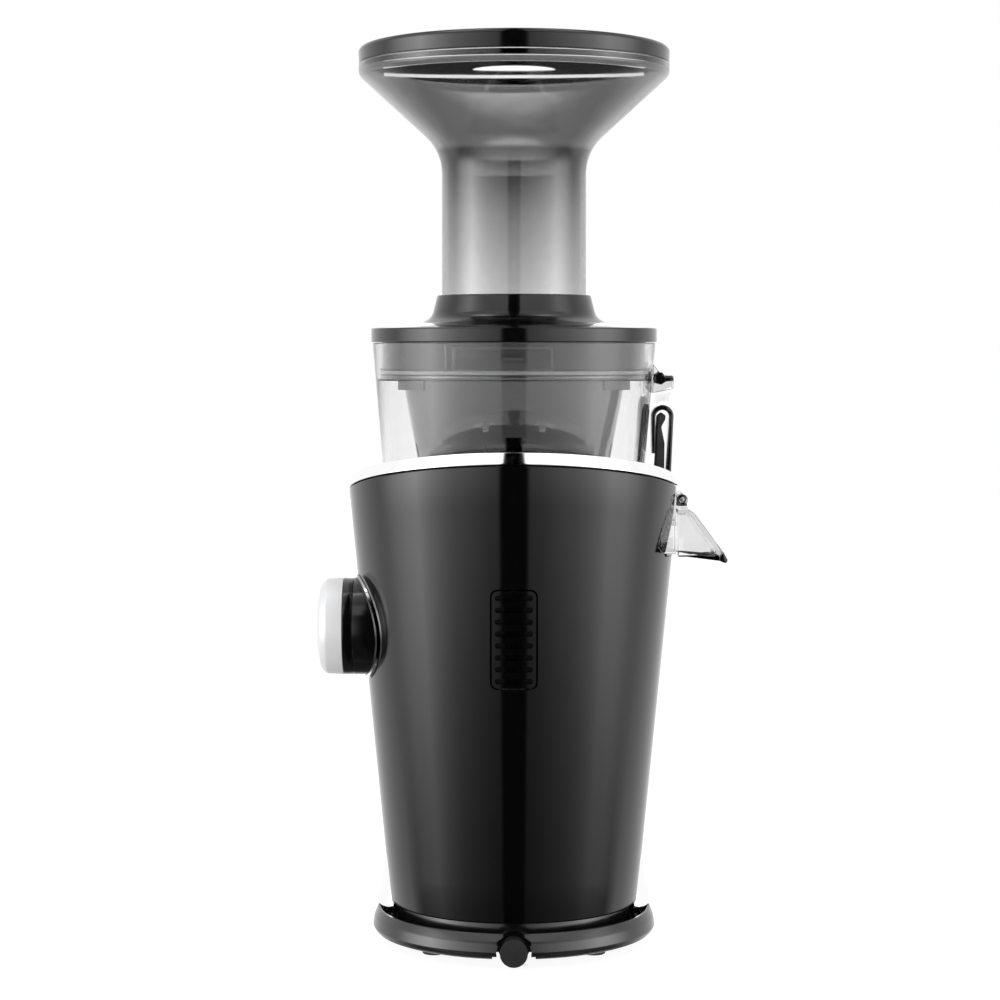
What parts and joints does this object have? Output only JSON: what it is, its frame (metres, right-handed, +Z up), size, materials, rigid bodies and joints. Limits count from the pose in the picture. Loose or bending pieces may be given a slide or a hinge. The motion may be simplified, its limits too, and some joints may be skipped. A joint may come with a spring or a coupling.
{
  "type": "slow juicer",
  "caption": "Upright slow juicer: cone-shaped motor body with side knob, lift-off clear chamber with auger, strainers, spout and pulp hood, and a funnel hopper on a narrow feed tube.",
  "frame": {"origin": "centre of the bottom cover's flat underside, on the auger's axis", "axes": "+Z up along the auger's axis, -Y towards the juice spout, -X towards the pulp hood, +X towards the switch knob"},
  "size_m": [0.206, 0.194, 0.4531],
  "materials": {
    "gloss_black": "high-gloss black moulded shell",
    "satin_black": "satin black moulding",
    "base_grey": "satin dark grey moulding",
    "silver": "silver painted, satin",
    "clear_smoke": "clear, faintly smoked moulding",
    "dark_smoke": "smoked transparent moulding",
    "rubber": "black rubber",
    "silicone": "grey silicone",
    "steel": "machined steel",
    "zinc": "die-cast alloy",
    "copper": "enamelled copper winding",
    "bronze": "sintered bronze",
    "gear_plastic": "natural acetal",
    "board_green": "circuit board",
    "auger_plastic": "dark moulded polymer"
  },
  "bodies": {
    "motor_body": {"base_ring": "base_grey", "bottom_cover": "satin_black", "foot_1": "rubber", "foot_2": "rubber", "foot_3": "rubber", "foot_4": "rubber", "cover_screw_1": "steel", "cover_screw_2": "steel", "cover_screw_3": "steel", "cord_block": "base_grey", "cord_gland": "rubber", "front_apron": "silver", "body_shell": "gloss_black", "vent_grille": "satin_black", "trim_ring": "silver", "top_deck": "satin_black", "shaft_seal": "silicone", "stator_core": "steel", "winding_bottom": "copper", "winding_top": "copper", "motor_bottom_bracket": "zinc", "motor_top_bracket": "zinc", "motor_bearing_lower": "steel", "motor_bearing_upper": "steel", "gearbox_base": "zinc", "gearbox_cover": "zinc", "output_bush": "bronze", "idler_pin_1": "steel", "idler_pin_2": "steel", "control_board": "board_green", "switch_body": "satin_black", "knob_collar": "satin_black", "knob_bezel": "silver"},
    "motor_rotor": {"rotor": "steel", "cooling_fan": "satin_black"},
    "first_idler": {"idler_gear_1": "gear_plastic"},
    "second_idler": {"idler_gear_2": "gear_plastic"},
    "drive": {"output_gear": "gear_plastic", "drive_shaft": "steel"},
    "power_knob": {"knob_body": "satin_black", "knob_cap": "silver"},
    "chamber_unit": {"chamber": "clear_smoke", "chamber_seal": "silicone", "outer_strainer": "dark_smoke", "inner_strainer": "dark_smoke", "hood_hinge_block": "satin_black", "hood_pin": "steel", "cap_pin": "steel", "lever_pin": "steel"},
    "auger_unit": {"auger": "auger_plastic"},
    "juice_cap_unit": {"juice_cap": "satin_black", "juice_cap_seal": "silicone"},
    "hood_unit": {"pulp_hood": "clear_smoke"},
    "lever_unit": {"side_lever": "satin_black", "lever_pad": "rubber"},
    "lid_unit": {"lid": "satin_black", "lid_seal": "silicone", "hopper": "dark_smoke", "hopper_tray": "satin_black", "hopper_rim": "satin_black"}
  },
  "joints": [
    {"name": "motor_spin", "type": "hinge", "parent": "motor_body", "child": "motor_rotor", "pos_m": [0, 0, 0.054], "axis": [0, 0, 1], "continuous": true},
    {"name": "first_idler_spin", "type": "hinge", "parent": "motor_body", "child": "first_idler", "pos_m": [-0.00642, -0.02104, 0.104], "axis": [0, 0, 1], "continuous": true},
    {"name": "second_idler_spin", "type": "hinge", "parent": "motor_body", "child": "second_idler", "pos_m": [-0.0323, -0.01176, 0.113], "axis": [0, 0, 1], "continuous": true},
    {"name": "drive_spin", "type": "hinge", "parent": "motor_body", "child": "drive", "pos_m": [0, 0, 0.1245], "axis": [0, 0, 1], "continuous": true},
    {"name": "auger_spin", "type": "hinge", "parent": "chamber_unit", "child": "auger_unit", "pos_m": [0, 0, 0.26], "axis": [0, 0, 1], "continuous": true},
    {"name": "power_knob_turn", "type": "hinge", "parent": "motor_body", "child": "power_knob", "pos_m": [0.09, 0.012, 0.158], "axis": [1, 0, 0], "range_deg": [-45, 45]},
    {"name": "chamber_lift", "type": "slide", "parent": "motor_body", "child": "chamber_unit", "axis": [0, 0, 1], "range_m": [0, 0.08]},
    {"name": "lid_lift", "type": "slide", "parent": "chamber_unit", "child": "lid_unit", "axis": [0, 0, 1], "range_m": [0, 0.09]},
    {"name": "juice_cap_open", "type": "hinge", "parent": "chamber_unit", "child": "juice_cap_unit", "pos_m": [0, -0.1, 0.2382], "axis": [-1, 0, 0], "range_deg": [0, 110]},
    {"name": "pulp_hood_open", "type": "hinge", "parent": "chamber_unit", "child": "hood_unit", "pos_m": [-0.0844, 0, 0.222], "axis": [0, 1, 0], "range_deg": [0, 70]},
    {"name": "side_lever_swing", "type": "hinge", "parent": "chamber_unit", "child": "lever_unit", "pos_m": [-0.073, 0, 0.228], "axis": [0, -1, 0], "range_deg": [0, 35]}
  ],
  "couplings": [
    {"joint": "first_idler_spin", "follows": "motor_spin", "ratio": -0.27907},
    {"joint": "second_idler_spin", "follows": "motor_spin", "ratio": 0.07788},
    {"joint": "drive_spin", "follows": "motor_spin", "ratio": -0.021734},
    {"joint": "auger_spin", "follows": "motor_spin", "ratio": -0.021734}
  ]
}
